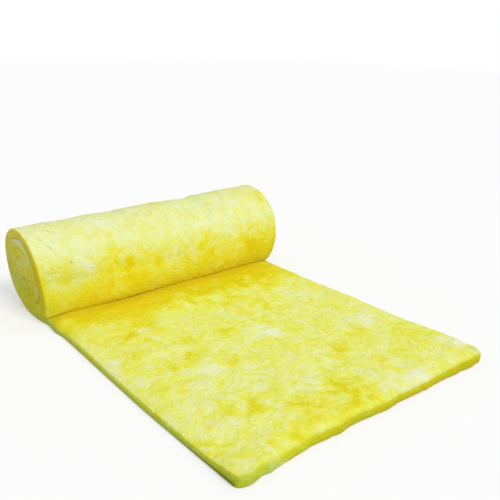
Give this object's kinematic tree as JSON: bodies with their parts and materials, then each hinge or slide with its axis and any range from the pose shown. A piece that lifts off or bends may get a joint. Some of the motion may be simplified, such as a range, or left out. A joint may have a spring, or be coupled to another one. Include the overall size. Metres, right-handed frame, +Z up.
{
  "type": "insulation roll",
  "caption": "Glass-wool insulation blanket wound into a roll and partly laid out flat, with its laps showing as a spiral on the roll's ends.",
  "frame": {"origin": "on the floor, under the middle of the outline seen from above", "axes": "+X along the laid sheet towards its free end, +Y along the roll, +Z up"},
  "size_m": [1.6129, 1.2, 0.3959],
  "materials": {
    "glass_wool": "matt mottled yellow wool, greener and denser on its cut edges"
  },
  "bodies": {
    "root": {"glass_wool_blanket": "glass_wool"}
  },
  "joints": []
}
